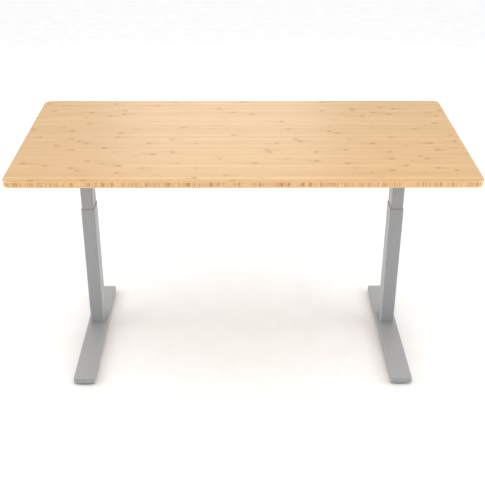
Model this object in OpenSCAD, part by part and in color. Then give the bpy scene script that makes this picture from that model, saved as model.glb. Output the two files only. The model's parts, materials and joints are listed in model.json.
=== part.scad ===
// Height adjustable standing desk: a bamboo desktop on two three-stage lifting columns.
// Millimetres. X runs along the desktop, the user sits at -Y, Z is up from the floor.
// The origin is on the floor under the middle of the desktop.

/* [Desktop] */
// Length of the desktop, left to right
desk_l = 1524; // [1260:1:1900]
// Depth of the desktop, front to back
desk_w = 762; // [690:1:920]
// Thickness of the desktop
desk_t = 25.4; // [18:0.1:40]
// Radius of the desktop's corners, seen from above
desk_corner = 25; // [8:1:80]
// Radius of the desktop's eased edges
desk_ease = 3; // [1:0.5:6]

/* [Height] */
// Height of the frame, without the desktop, when the columns are closed
frame_min = 622; // [560:1:750]
// Travel of each of the two moving stages
stage_stroke = 325; // [200:1:390]
// How far each stage stands out in this pose
stage_rest = 94.3; // [0:0.1:200]

/* [Columns] */
// Distance between the centres of the two columns
col_spacing = 1152; // [900:1:1400]
// Distance of the columns behind the middle of the feet
col_back = 77; // [0:1:120]
// Width of the outer tube, left to right
tube_x = 50; // [46:0.5:62]
// Depth of the outer tube, front to back
tube_y = 80; // [76:0.5:100]
// Wall of all three tubes
tube_wall = 1.5; // [1.2:0.1:2]
// Gap from the wall of one tube to the wall of the next
tube_gap = 1; // [0.8:0.1:1.5]
// Corner radius of the tubes
tube_corner = 4; // [3:0.5:6]
// Height of the flange of each guide collar
collar_t = 4; // [2:0.5:8]
// Length of the collar's skirt inside its tube
skirt_l = 40; // [20:1:60]
// Running gap between a guide and the tube that slides in it
slide_gap = 0.3; // [0.2:0.05:0.5]

/* [Feet] */
// Length of a foot, front to back
foot_l = 660; // [560:1:720]
// Width of a foot
foot_w = 76; // [64:1:100]
// Height of a foot, without its glides
foot_h = 19; // [16:0.5:30]
// Sheet thickness of a foot
foot_wall = 2.5; // [2:0.1:4]
// Plan radius of the corners of a foot
foot_corner = 6; // [3:0.5:15]
// Distance of the middle of the feet behind the middle of the desktop
frame_y = 10; // [0:1:40]
// Diameter of a levelling glide
glide_d = 50; // [40:1:60]
// Height of a levelling glide's disc
glide_h = 8; // [5:0.5:12]
// Gap from a glide's disc to the foot
glide_gap = 1; // [0.5:0.5:4]
// Distance from the end of a foot to the glide's centre
glide_in = 30; // [26:1:60]

/* [Lifting screws] */
// Diameter of the fixed lower screw
screw_d = 12; // [10:0.5:13]
// Outside diameter of the hollow screw
hollow_d = 26; // [24:0.5:28]
// Bore of the hollow screw
hollow_bore = 19; // [18.6:0.1:20]
// Width across the flats of the hexagonal drive tube
drive_af = 16; // [15:0.1:16]
// Bore of the drive tube
drive_bore = 13; // [12.6:0.1:13.2]
// Length of the nut inside the hollow screw
lower_nut_l = 20; // [12:1:30]
// Length of the nut block in the inner tube
lift_nut_l = 30; // [20:1:45]

/* [Head and drive] */
// Height from the underside of the head bracket to the top of the frame
head_h = 80; // [78:1:100]
// Sheet thickness of the head bracket
head_t = 4; // [3:0.5:5]
// Half width of the head bracket, front to back
head_y = 50; // [46:1:50]
// Teeth of the worm wheel
wheel_teeth = 30; // [20:1:40]
// Radius over the worm wheel's teeth
wheel_r = 20.5; // [18:0.5:21]
// Radius of the worm
worm_r = 6; // [4.5:0.5:6]
// Radius of the motor's can
motor_r = 25; // [20:0.5:25]
// Length of the motor's can
motor_l = 100; // [60:1:140]

/* [Top frame] */
// Width of a side bracket
bracket_w = 70; // [66:1:84]
// Length of a side bracket
bracket_l = 560; // [500:1:650]
// Height of a side bracket at the column
bracket_h = 30; // [28:0.5:30]
// Height of a side bracket at its ends
bracket_end_h = 12; // [8:0.5:20]
// Sheet thickness of a side bracket
bracket_t = 2.5; // [2:0.1:3]
// Distance of each rail from the columns' centre, front and back
rail_y = 75; // [74:1:80]
// Width of a rail
rail_w = 25; // [20:0.5:30]
// Height of a rail
rail_h = 26; // [20:0.5:26]
// Wall of the rails and their sleeves
rail_wall = 2; // [1.5:0.1:2]
// Gap between the left and right halves of a rail, inside the sleeve
rail_split = 114; // [40:1:200]
// Length of a rail sleeve
sleeve_l = 500; // [400:1:600]
// Thickness of the rubber pads under the desktop
pad_t = 2; // [1.5:0.1:3]

/* [Control box and handset] */
// Length of the control box
box_l = 260; // [220:1:320]
// Depth of the control box
box_w = 90; // [75:1:104]
// Height of the control box
box_h = 38; // [34:1:50]
// Wall of the control box and the handset
shell_wall = 2.5; // [2:0.1:3]
// Distance of the handset right of the middle of the desktop
handset_x = 430; // [300:1:440]
// Distance of the handset behind the desktop's front edge
handset_in = 50; // [45:1:60]
// Width of the handset
handset_w = 110; // [90:1:130]
// Depth of the handset
handset_d = 55; // [40:1:60]
// Height of the handset
handset_h = 20; // [18:0.5:22]
// Diameter of a button
button_d = 12; // [9:0.5:13]
// Travel of a button
button_travel = 1; // [0.5:0.1:1.4]

/* [Hidden] */
$fn = 48;

LEFT = -1;
RIGHT = 1;
steel_grey = "#b4b4b3";
zinc = "#c9ccd0";
black_plastic = "#2b2b2d";
light_plastic = "#c4c4c3";
cast_grey = "#9a9c9e";

// Clearance of a bolt in its hole
bolt_gap = 0.3;

// Feet and floor
foot_under = glide_h + glide_gap;
foot_top = foot_under + foot_h;
stud_r = 4;
glide_rim = 2;
foot_bolt_r = 4;
glide_y = foot_l / 2 - glide_in;
nut_h = 8;

// Columns, with heights as they are when the columns are closed
col_x = col_spacing / 2;
col_y = frame_y + col_back;
tube_step = 2 * (tube_wall + tube_gap);
mid_x = tube_x - tube_step;
mid_y = tube_y - tube_step;
in_x = mid_x - tube_step;
in_y = mid_y - tube_step;
plate_t = 6;
base_top = foot_top + plate_t;
stop_gap = 4;
head_gap = 6;
collar_gap = 2;
head_closed = frame_min - head_h;
mid_top = head_closed - head_gap - collar_t;
outer_top = mid_top - collar_gap - collar_t;
mid_bottom = base_top + stop_gap;
slider_l = 40;
slider_up = 5;

// Lifting screws, closed heights
run_gap = 0.05;
bearing_h = 9;
bearing_plate_t = 12;
bearing_r = 18;
shoulder_h = 4;
shoulder_r = hollow_d / 2 + 3;
bearing_top = mid_bottom + bearing_plate_t;
hollow_bottom = mid_bottom + 0.5;
lower_nut_z = hollow_bottom + 0.5;
lower_nut_top = lower_nut_z + lower_nut_l;
in_bottom = bearing_top + shoulder_h + stop_gap;
lift_nut_top = in_bottom + lift_nut_l;
hex_l = 20;
hex_gap = 0.3;
hollow_top = lift_nut_top + stage_stroke + 12;
fixed_top = lower_nut_top + stage_stroke + 6;
drive_bottom = lower_nut_top + 5;
journal_r = drive_af / 2;

// Heights in this pose
mid_up = stage_rest;
top_up = 2 * stage_rest;
frame_top = frame_min + top_up;
desk_under = frame_top + pad_t;
head_z = frame_top - head_h;

// Head and drive
head_x = bracket_w / 2 - bracket_t;
cheek_top = frame_top - 5;
gear_x = head_x - head_t;
housing_wall = 4;
cavity_x = gear_x - housing_wall;
worm_y = wheel_r + worm_r + 0.5;
shaft_r = 4;
shaft_in = 15;
housing_front = wheel_r + 3.5;
post_r = 4.5;
post_in = 3.5;
post_x = cavity_x - 1;
housing_back = worm_y + shaft_r + 0.5 + post_r + post_in;
housing_z = head_z + head_t;
housing_h = 36;
floor_t = 5;
cover_t = 4;
cover_top = housing_z + housing_h + cover_t;
box_screw_r = 2;
wheel_t = 12;
tooth_h = 2.2;
tooth_corners = [0.15, 0.35, 0.6, 0.9];
worm_z = head_z + 24;
wheel_bearing_r = 13;
pilot_r = 12;
motor_cap_l = 8;

// Top frame
rail_z = frame_top - 16;
flange_t = 4;
flange_w = 56;
flange_bolt = 21;
flange_bolt_r = 3;
flange_bolt_l = 12;
rail_from = bracket_w / 2 + flange_t;
rail_to = col_x - rail_split / 2;
sleeve_gap = 0.2;
sleeve_w = rail_w + 2 * (sleeve_gap + rail_wall);
sleeve_h = rail_h + 2 * (sleeve_gap + rail_wall);
lock_r = 3;
lock_spots = [80, sleeve_l / 2 - 50];
full_h_half = rail_y + 30;
head_bolt_r = 4;
head_bolt_l = 14;
head_bolt_y = 36;
head_bolt_z = frame_top - 17;
desk_screw_spots = [-bracket_l / 2 + 30, -bracket_l / 2 + 125, bracket_l / 2 - 125, bracket_l / 2 - 30];
desk_screw_r = 3;
insert_r = 5;
insert_l = 13;
pad_r = 13;

// Control box and handset
box_z = desk_under - box_h;
ear_l = 15;
ear_w = 40;
ear_t = 3;
port_w = 13;
port_h = 9;
port_z = desk_under - 20;
inlet_x = 70;
inlet_w = 28;
inlet_h = 20;
inlet_d = 24;
inlet_z = box_z + box_h / 2;
handset_y = -desk_w / 2 + handset_in;
handset_z = desk_under - handset_h;
face_t = 3;
button_gap = 0.3;
button_proud = button_travel + 1;
button_depth = 8;
button_spots = [-18, 18];

// Leads, held under the desktop. X is for the left lead, and the right one is its mirror image.
motor_lead_r = 3;
handset_lead_r = 2;
motor_end = -col_x + head_x + motor_l + motor_cap_l;
motor_axis_y = col_y + worm_y;
motor_lead_points = [
    [motor_end, motor_axis_y, worm_z],
    [motor_end + 28, motor_axis_y, worm_z],
    [motor_end + 60, motor_axis_y, desk_under - motor_lead_r - 1],
    [-box_l / 2 - 60, motor_axis_y, desk_under - motor_lead_r - 1],
    [-box_l / 2 - 40, motor_axis_y, port_z],
    [-box_l / 2 + 1, motor_axis_y, port_z]];
handset_port_y = col_y - box_w / 2 + 14;
handset_lead_z = desk_under - handset_lead_r - 0.5;
handset_lead_points = [
    [handset_x, handset_y + handset_d - 1, handset_z + handset_h / 2],
    [handset_x, handset_y + handset_d + 12, handset_z + handset_h / 2],
    [handset_x, handset_y + handset_d + 30, handset_lead_z],
    [handset_x, handset_port_y, handset_lead_z],
    [box_l / 2 + 60, handset_port_y, handset_lead_z],
    [box_l / 2 + 40, handset_port_y, port_z],
    [box_l / 2 - 1, handset_port_y, port_z]];

// ---------- shared shapes ----------

// A child built for the left leg, with its origin at the column's centre and +X towards the
// middle of the desk, placed at either leg
module leg(side) {
    if (side == RIGHT) mirror([1, 0, 0]) translate([-col_x, col_y, 0]) children();
    else translate([-col_x, col_y, 0]) children();
}

module both_legs() {
    for (side = [LEFT, RIGHT]) leg(side) children();
}

// A rectangle with round corners
module round_rect(x, y, r) {
    square([x - 2 * r, y], center = true);
    square([x, y - 2 * r], center = true);
    for (sx = [-1, 1], sy = [-1, 1])
        translate([sx * (x / 2 - r), sy * (y / 2 - r)]) circle(r = r);
}

module round_block(x, y, r, z0, z1) {
    translate([0, 0, z0]) linear_extrude(z1 - z0) round_rect(x, y, r);
}

// A rectangular tube from z0 to z1
module tube(x, y, z0, z1) {
    difference() {
        round_block(x, y, tube_corner, z0, z1);
        round_block(x - 2 * tube_wall, y - 2 * tube_wall, tube_corner - tube_wall, z0 - 1, z1 + 1);
    }
}

// A ring about Z
module ring(r_out, r_in, z0, z1) {
    translate([0, 0, z0]) difference() {
        cylinder(r = r_out, h = z1 - z0);
        translate([0, 0, -1]) cylinder(r = r_in, h = z1 - z0 + 2);
    }
}

module rod(r, z0, z1) {
    translate([0, 0, z0]) cylinder(r = r, h = z1 - z0);
}

// A rod along +X from x0 to x1
module rod_x(r, x0, x1) {
    translate([x0, 0, 0]) rotate([0, 90, 0]) cylinder(r = r, h = x1 - x0);
}

// A hexagon socket screw: shank from z0 up to z1, head below z0
module socket_screw(r, z0, z1) {
    head_r = 1.7 * r;
    difference() {
        union() {
            rod(r, z0, z1);
            rod(head_r, z0 - 1.1 * r, z0);
        }
        translate([0, 0, z0 - 1.1 * r - 1]) cylinder(r = 0.9 * r, h = 0.7 * r + 1, $fn = 6);
    }
}

// The route of a lead through a list of points, with each corner eased over a distance on both sides
function toward(from, to, distance) = from + (to - from) * distance / norm(to - from);
function eased(before, corner, after, t) =
    (1 - t) * (1 - t) * before + 2 * t * (1 - t) * corner + t * t * after;
function route(points, ease) = concat([points[0]],
    [for (i = [1 : len(points) - 2], t = [0 : 0.25 : 1])
        eased(toward(points[i], points[i - 1], ease), points[i], toward(points[i], points[i + 1], ease), t)],
    [points[len(points) - 1]]);

// A lead as one tube with ten sides. No part of a route stands upright.
module lead(points, r) {
    path = route(points, 3 * r);
    n = len(path);
    sides = 10;
    rings = [for (i = [0 : n - 1])
        let (along = path[min(i + 1, n - 1)] - path[max(i - 1, 0)],
            across = cross(along, [0, 0, 1]) / norm(cross(along, [0, 0, 1])),
            up = cross(across, along) / norm(along))
        for (k = [0 : sides - 1]) path[i] + r * (across * cos(k * 360 / sides) + up * sin(k * 360 / sides))];
    polyhedron(rings, concat(
        [[for (k = [0 : sides - 1]) k], [for (k = [sides - 1 : -1 : 0]) (n - 1) * sides + k]],
        [for (i = [0 : n - 2], k = [0 : sides - 1]) let (a = i * sides + k, b = i * sides + (k + 1) % sides)
            each [[a, a + sides, b], [b, a + sides, b + sides]]]));
}

// ---------- desktop ----------

// Outline of the eased edge: x from the middle of the board, y its thickness
function eased_edge(half) = concat(
    [for (a = [-90 : 15 : 0]) [half - desk_ease + desk_ease * cos(a), desk_ease + desk_ease * sin(a)]],
    [for (a = [0 : 15 : 90])
        [half - desk_ease + desk_ease * cos(a), desk_t - desk_ease + desk_ease * sin(a)]]);

function eased_section(half) = concat(eased_edge(half),
    [for (p = eased_edge(half)) [-p.x, desk_t - p.y]]);

function eased_half(width) = concat([[0, 0]], eased_edge(width), [[0, desk_t]]);

// A middle run, two end runs and four quarter-round corners, which meet face to face
module board() {
    run_x = desk_l - 2 * desk_corner;
    run_y = desk_w - 2 * desk_corner;
    translate([-run_x / 2, 0, 0]) rotate([90, 0, 90])
        linear_extrude(run_x) polygon(eased_section(desk_w / 2));
    for (turn = [0, 180]) rotate([0, 0, turn]) translate([run_x / 2, 0, 0]) {
        translate([0, run_y / 2, 0]) rotate([90, 0, 0])
            linear_extrude(run_y) polygon(eased_half(desk_corner));
        for (s = [0, 1]) translate([0, (s - 0.5) * run_y, 0]) rotate([0, 0, (s - 1) * 90])
            rotate_extrude(angle = 90, $fn = 96) polygon(eased_half(desk_corner));
    }
}

module desk_screw_places() {
    for (side = [LEFT, RIGHT], y = desk_screw_spots)
        translate([side * col_x, frame_y + y, 0]) children();
}

module desktop() color("#e9c994") difference() {
    translate([0, 0, desk_under]) board();
    desk_screw_places() rod(insert_r, desk_under - 1, desk_under + insert_l);
}

module desktop_inserts() color(zinc) desk_screw_places()
    ring(insert_r, desk_screw_r, desk_under, desk_under + insert_l);

module desktop_screws() color(zinc) desk_screw_places()
    socket_screw(desk_screw_r, frame_top - bracket_t, desk_under + insert_l - 2);

module bracket_pads() color(black_plastic) desk_screw_places()
    ring(pad_r, desk_screw_r + bolt_gap, frame_top, desk_under);

// ---------- feet ----------

module glide_places() {
    for (end = [-1, 1]) translate([0, end * glide_y - col_back, 0]) children();
}

module foot_bolt_places() {
    for (sx = [-1, 1], sy = [-1, 1])
        translate([sx * (tube_x / 2 - 11), sy * (tube_y / 2 - 12), 0]) children();
}

module foot(side) color(steel_grey) leg(side) difference() {
    translate([0, -col_back, 0]) difference() {
        round_block(foot_w, foot_l, foot_corner, foot_under, foot_top);
        round_block(foot_w - 2 * foot_wall, foot_l - 2 * foot_wall, foot_corner - foot_wall,
            foot_under - 1, foot_top - foot_wall);
    }
    foot_bolt_places() rod(foot_bolt_r + bolt_gap, foot_under, foot_top + 1);
    rod(screw_d / 2 + 1, foot_under, foot_top + 1);
}

module foot_left() foot(LEFT);
module foot_right() foot(RIGHT);

// A levelling glide: a disc with a soft rounded rim, and its threaded stud
module glide(side, end) color(light_plastic) leg(side) translate([0, end * glide_y - col_back, 0]) {
    r = glide_d / 2 - glide_rim;
    z = glide_h - glide_rim;
    rotate_extrude($fn = 64) polygon(concat([[0, 0], [glide_d / 2 - 1, 0], [glide_d / 2, 1]],
        [for (a = [0 : 15 : 90]) [r + glide_rim * cos(a), z + glide_rim * sin(a)]], [[0, glide_h]]));
    rod(stud_r, glide_h - 1, foot_top - foot_wall - 0.5);
}

module glide_front_left() glide(LEFT, -1);
module glide_rear_left() glide(LEFT, 1);
module glide_front_right() glide(RIGHT, -1);
module glide_rear_right() glide(RIGHT, 1);

// Nuts welded under the top of each foot
module glide_nuts() color(zinc) both_legs() glide_places() difference() {
    translate([0, 0, foot_top - foot_wall - nut_h]) cylinder(r = 2 * stud_r, h = nut_h, $fn = 6);
    rod(stud_r + run_gap, foot_under, foot_top);
}

module foot_bolts() color(zinc) both_legs() foot_bolt_places()
    socket_screw(foot_bolt_r, foot_top - foot_wall, base_top);

// Plates welded in the foot of each outer tube
module base_plates() color(steel_grey) both_legs() difference() {
    round_block(tube_x - 2 * tube_wall, tube_y - 2 * tube_wall, tube_corner - tube_wall, foot_top, base_top);
    foot_bolt_places() rod(foot_bolt_r, foot_top - 1, base_top + 1);
    rod(screw_d / 2 + run_gap, foot_top - 1, base_top + 1);
}

// ---------- columns ----------

// A plastic guide in the top of a tube of size x by y, around the next tube
module collar(x, y, top) {
    difference() {
        union() {
            round_block(x, y, tube_corner, top, top + collar_t);
            round_block(x - 2 * tube_wall, y - 2 * tube_wall, tube_corner - tube_wall,
                top - skirt_l, top + 1);
        }
        round_block(x - tube_step + 2 * slide_gap, y - tube_step + 2 * slide_gap, tube_corner,
            top - skirt_l - 1, top + collar_t + 1);
    }
}

// Four flat pads on the outside of a tube of size x by y, near its bottom end
module sliders(x, y, bottom) {
    pad = tube_gap - slide_gap;
    translate([0, 0, bottom + slider_up]) for (s = [-1, 1]) {
        translate([s * (x + pad) / 2, 0, slider_l / 2]) cube([pad, 0.7 * y, slider_l], center = true);
        translate([0, s * (y + pad) / 2, slider_l / 2]) cube([0.7 * x, pad, slider_l], center = true);
    }
}

module outer_tube(side) color(steel_grey) leg(side) tube(tube_x, tube_y, foot_top, outer_top);
module outer_tube_left() outer_tube(LEFT);
module outer_tube_right() outer_tube(RIGHT);
module lower_collars() color(light_plastic) both_legs() collar(tube_x, tube_y, outer_top);

module middle_tube(side) color(steel_grey) leg(side)
    tube(mid_x, mid_y, mid_bottom + mid_up, mid_top + mid_up);
module middle_tube_left() middle_tube(LEFT);
module middle_tube_right() middle_tube(RIGHT);
module upper_collars() color(light_plastic) both_legs() collar(mid_x, mid_y, mid_top + mid_up);
module middle_sliders() color("ivory") both_legs() sliders(mid_x, mid_y, mid_bottom + mid_up);

module inner_tube(side) color(steel_grey) leg(side)
    tube(in_x, in_y, in_bottom + top_up, head_z);
module inner_tube_left() inner_tube(LEFT);
module inner_tube_right() inner_tube(RIGHT);
module inner_sliders() color("ivory") both_legs() sliders(in_x, in_y, in_bottom + top_up);

// ---------- lifting screws ----------

module fixed_screws() color(zinc) both_legs() rod(screw_d / 2, foot_top, fixed_top);

// Plates in the bottom of the middle tubes, with a pocket for the bearing
module bearing_plates() color(steel_grey) both_legs() translate([0, 0, mid_up]) difference() {
    round_block(mid_x - 2 * tube_wall, mid_y - 2 * tube_wall, tube_corner - tube_wall,
        mid_bottom, bearing_top);
    rod(bearing_r, bearing_top - bearing_h, bearing_top + 1);
    rod(hollow_d / 2 + 1, mid_bottom - 1, bearing_top);
}

module screw_bearings() color("silver") both_legs()
    ring(bearing_r, hollow_d / 2 + run_gap, bearing_top - bearing_h + mid_up, bearing_top + mid_up);

// The hollow screw turns in the middle tube. Its hexagonal top end is driven by the drive tube.
module hollow_screw(side) color(zinc) leg(side) translate([0, 0, mid_up]) difference() {
    union() {
        rod(hollow_d / 2, hollow_bottom, hollow_top);
        rod(shoulder_r, bearing_top + run_gap, bearing_top + shoulder_h);
    }
    rod(hollow_bore / 2, hollow_bottom - 1, hollow_top - hex_l);
    translate([0, 0, hollow_bottom])
        cylinder(d = (drive_af + hex_gap) / cos(30), h = hollow_top - hollow_bottom + 1, $fn = 6);
}
module hollow_screw_left() hollow_screw(LEFT);
module hollow_screw_right() hollow_screw(RIGHT);

// The nut pressed in the bottom of the hollow screw, which climbs the fixed screw
module lower_nut(side) color("goldenrod") leg(side)
    ring(hollow_bore / 2, screw_d / 2 + run_gap, lower_nut_z + mid_up, lower_nut_top + mid_up);
module lower_nut_left() lower_nut(LEFT);
module lower_nut_right() lower_nut(RIGHT);

// The block in the bottom of the inner tube, which the hollow screw raises
module lift_nuts() color("ivory") both_legs() translate([0, 0, top_up]) difference() {
    round_block(in_x - 2 * tube_wall, in_y - 2 * tube_wall, tube_corner - tube_wall, in_bottom, lift_nut_top);
    rod(hollow_d / 2 + run_gap, in_bottom - 1, lift_nut_top + 1);
}

module drive_tube(side) color(zinc) leg(side) difference() {
    union() {
        translate([0, 0, drive_bottom + top_up])
            cylinder(d = drive_af / cos(30), h = head_z - drive_bottom - top_up, $fn = 6);
        rod(journal_r, head_z - 1, cover_top - 1);
    }
    rod(drive_bore / 2, drive_bottom + top_up - 1, housing_z);
}
module drive_tube_left() drive_tube(LEFT);
module drive_tube_right() drive_tube(RIGHT);

// ---------- head and gearbox ----------

module gearbox_screw_places() {
    for (sx = [-1, 1], y = [-housing_front + post_in, housing_back - post_in])
        translate([sx * post_x, y, 0]) children();
}

module head_bolt_places() {
    for (s = [-1, 1]) translate([0, s * head_bolt_y, head_bolt_z]) children();
}

// A folded plate: its floor is welded on the inner tube and its two cheeks hold the side bracket
module head_brackets() color(steel_grey) both_legs() difference() {
    translate([-head_x, -head_y, head_z]) cube([2 * head_x, 2 * head_y, cheek_top - head_z]);
    translate([-head_x + head_t, -head_y - 1, head_z + head_t])
        cube([2 * gear_x, 2 * head_y + 2, cheek_top - head_z]);
    rod(journal_r + 3, head_z - 1, housing_z + 1);
    gearbox_screw_places() rod(box_screw_r, head_z - 1, housing_z + 1);
    translate([0, worm_y, worm_z]) rod_x(pilot_r + bolt_gap, 0, head_x + 1);
    head_bolt_places() rod_x(head_bolt_r + bolt_gap, -head_x - 1, head_x + 1);
}

module gearbox_outline(inset) {
    translate([-gear_x + inset, -housing_front - housing_wall + inset])
        square([2 * (gear_x - inset), housing_front + housing_back + 2 * (housing_wall - inset)]);
}

module gearbox_housings() color(cast_grey) both_legs() difference() {
    translate([0, 0, housing_z]) linear_extrude(housing_h) gearbox_outline(0.2);
    translate([0, 0, housing_z + floor_t]) linear_extrude(housing_h) difference() {
        gearbox_outline(housing_wall);
        gearbox_screw_places() circle(r = post_r);
    }
    rod(wheel_bearing_r, housing_z - 1, housing_z + floor_t + 1);
    gearbox_screw_places() rod(box_screw_r + bolt_gap, housing_z - 1, cover_top);
    translate([0, worm_y, worm_z]) rod_x(shaft_r + run_gap, -gear_x + 1.5, gear_x + 1);
}

module gearbox_covers() color(cast_grey) both_legs() difference() {
    translate([0, 0, housing_z + housing_h]) linear_extrude(cover_t) gearbox_outline(0.2);
    rod(wheel_bearing_r, housing_z, cover_top - 1.5);
    rod(journal_r + 1, housing_z, cover_top + 1);
    gearbox_screw_places() rod(box_screw_r + bolt_gap, housing_z, cover_top + 1);
}

module gear_bearings() color("silver") both_legs() {
    ring(wheel_bearing_r, journal_r + run_gap, housing_z, housing_z + floor_t);
    ring(wheel_bearing_r, journal_r + run_gap, housing_z + housing_h, cover_top - 1.5);
}

// Long screws down through cover and housing into the head bracket's floor
module gearbox_screws() color(zinc) both_legs() gearbox_screw_places()
    translate([0, 0, cover_top]) mirror([0, 0, 1]) socket_screw(box_screw_r, 0, cover_top - head_z);

// Worm wheel with straight-sided teeth
module worm_wheel(side) color("goldenrod") leg(side) difference() {
    translate([0, 0, worm_z - wheel_t / 2]) linear_extrude(wheel_t) polygon([
        for (i = [0 : wheel_teeth - 1], k = [0 : 3])
            let (r = k < 2 ? wheel_r : wheel_r - tooth_h, a = (i + tooth_corners[k]) * 360 / wheel_teeth)
                [r * cos(a), r * sin(a)]]);
    rod(journal_r, worm_z - wheel_t, worm_z + wheel_t);
}
module worm_wheel_left() worm_wheel(LEFT);
module worm_wheel_right() worm_wheel(RIGHT);

// The worm and its shaft, which runs on into the motor
module worm(side) color("silver") leg(side) translate([0, worm_y, worm_z]) {
    rod_x(worm_r, -post_x + post_r + 1.5, post_x - post_r - 1.5);
    rod_x(shaft_r, -gear_x + 2, head_x + shaft_in - 1);
}
module worm_left() worm(LEFT);
module worm_right() worm(RIGHT);

module motor(side) color("#5a5c60") leg(side) translate([head_x, worm_y, worm_z]) difference() {
    rotate([0, 90, 0]) rotate_extrude($fn = 72) polygon([
        [0, -head_t], [pilot_r, -head_t], [pilot_r, 0], [motor_r - 1, 0], [motor_r, 1],
        [motor_r, motor_l - 1], [motor_r - 1, motor_l], [motor_r - 4, motor_l],
        [motor_r - 5, motor_l + motor_cap_l], [0, motor_l + motor_cap_l]]);
    rod_x(shaft_r + run_gap, -head_t - 1, shaft_in);
}
module motor_left() motor(LEFT);
module motor_right() motor(RIGHT);

// ---------- top frame ----------

module flange_bolt_places() {
    for (end = [-1, 1], s = [-1, 1])
        translate([0, end * rail_y + s * flange_bolt, rail_z]) children();
}

// An upside-down channel along Y, deepest at the column and tapered to both ends
module side_bracket(side) color(steel_grey) leg(side) {
    half = bracket_l / 2;
    difference() {
        translate([-bracket_w / 2, 0, frame_top]) rotate([90, 0, 90]) linear_extrude(bracket_w) polygon([
            [-half - col_back, 0], [half - col_back, 0], [half - col_back, -bracket_end_h],
            [full_h_half, -bracket_h], [-full_h_half, -bracket_h], [-half - col_back, -bracket_end_h]]);
        translate([-head_x, -half - col_back - 1, frame_top - bracket_h - 1])
            cube([2 * head_x, bracket_l + 2, bracket_h + 1 - bracket_t]);
        for (y = desk_screw_spots) translate([0, y - col_back, 0])
            rod(desk_screw_r + bolt_gap, frame_top - 10, frame_top + 1);
        head_bolt_places() rod_x(head_bolt_r + bolt_gap, -bracket_w, bracket_w);
        flange_bolt_places() rod_x(flange_bolt_r + bolt_gap, 0, bracket_w);
    }
}
module side_bracket_left() side_bracket(LEFT);
module side_bracket_right() side_bracket(RIGHT);

// A box tube along X with its centre at the rail's place
module rail_tube(w, h, x0, x1) {
    translate([x0, 0, rail_z]) rotate([90, 0, 90]) linear_extrude(x1 - x0) difference() {
        square([w, h], center = true);
        square([w - 2 * rail_wall, h - 2 * rail_wall], center = true);
    }
}

// The front and rear half rails of one leg, each with its bolting flange
module rails(side) color(steel_grey) leg(side) difference() {
    for (end = [-1, 1]) translate([0, end * rail_y, 0]) {
        rail_tube(rail_w, rail_h, rail_from, rail_to);
        translate([bracket_w / 2, -flange_w / 2, rail_z - rail_h / 2]) cube([flange_t, flange_w, rail_h]);
    }
    flange_bolt_places() rod_x(flange_bolt_r + bolt_gap, 0, bracket_w);
}
module rails_left() rails(LEFT);
module rails_right() rails(RIGHT);

module rail_sleeves() color(steel_grey) for (end = [-1, 1]) translate([0, col_y + end * rail_y, 0])
    difference() {
        rail_tube(sleeve_w, sleeve_h, -sleeve_l / 2, sleeve_l / 2);
        for (s = [-1, 1], x = lock_spots)
            translate([s * x, 0, 0]) rod(lock_r, rail_z - sleeve_h, rail_z);
    }

// Bolts through the side brackets, and the screws that lock the rails in their sleeves
module frame_bolts() color(zinc) {
    both_legs() {
        head_bolt_places() for (s = [-1, 1]) rotate([0, 0, s < 0 ? 180 : 0])
            translate([bracket_w / 2, 0, 0]) rotate([0, -90, 0]) socket_screw(head_bolt_r, 0, head_bolt_l);
        flange_bolt_places() translate([bracket_w / 2 + flange_t, 0, 0]) rotate([0, -90, 0])
            socket_screw(flange_bolt_r, 0, flange_bolt_l);
    }
    for (end = [-1, 1], s = [-1, 1], x = lock_spots)
        translate([s * x, col_y + end * rail_y, 0])
            socket_screw(lock_r, rail_z - sleeve_h / 2, rail_z - rail_h / 2);
}

// ---------- control box ----------

module control_box() color(black_plastic) difference() {
    union() {
        translate([-box_l / 2, col_y - box_w / 2, box_z]) cube([box_l, box_w, box_h]);
        translate([-box_l / 2 - ear_l, col_y - ear_w / 2, desk_under - ear_t])
            cube([box_l + 2 * ear_l, ear_w, ear_t]);
    }
    translate([-box_l / 2 + shell_wall, col_y - box_w / 2 + shell_wall, box_z - 1])
        cube([box_l - 2 * shell_wall, box_w - 2 * shell_wall, box_h + 1 - shell_wall]);
    for (s = [-1, 1]) {
        translate([s * (box_l / 2 + ear_l / 2), col_y, 0]) rod(2, desk_under - ear_t - 1, desk_under + 1);
        translate([s * box_l / 2, motor_axis_y, port_z])
            cube([4 * shell_wall, port_w, port_h], center = true);
    }
    translate([box_l / 2, handset_port_y, port_z]) cube([4 * shell_wall, port_w, port_h], center = true);
    translate([inlet_x - inlet_w / 2, col_y, inlet_z - inlet_h / 2]) cube([inlet_w, box_w, inlet_h]);
}

module control_lid() color(black_plastic)
    translate([-box_l / 2 + shell_wall + 0.2, col_y - box_w / 2 + shell_wall + 0.2, box_z])
        cube([box_l - 2 * shell_wall - 0.4, box_w - 2 * shell_wall - 0.4, shell_wall]);

// Circuit board with its transformer, capacitors and relays
module control_board() {
    board_in = 12;
    board_l = box_l - 60;
    board_w = box_w - 16;
    board_z = box_z + shell_wall + 4;
    board_top = board_z + 1.6;
    transformer = [44, 40, 22];
    relay = [18, 14, 12];
    capacitor_r = 7;
    capacitor_h = 18.4;
    color("#1f6b3a") translate([-box_l / 2 + board_in, col_y - board_w / 2, board_z])
        cube([board_l, board_w, board_top - board_z]);
    color("#444444") {
        translate([-box_l / 2 + 2 * board_in, col_y - 22, board_top]) cube(transformer);
        for (x = [-10, 8, 26]) translate([x, col_y - 24, 0])
            rod(capacitor_r, board_top, board_top + capacitor_h);
        for (x = [-30, -6]) translate([x, col_y + 4, board_top]) cube(relay);
    }
}

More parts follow.
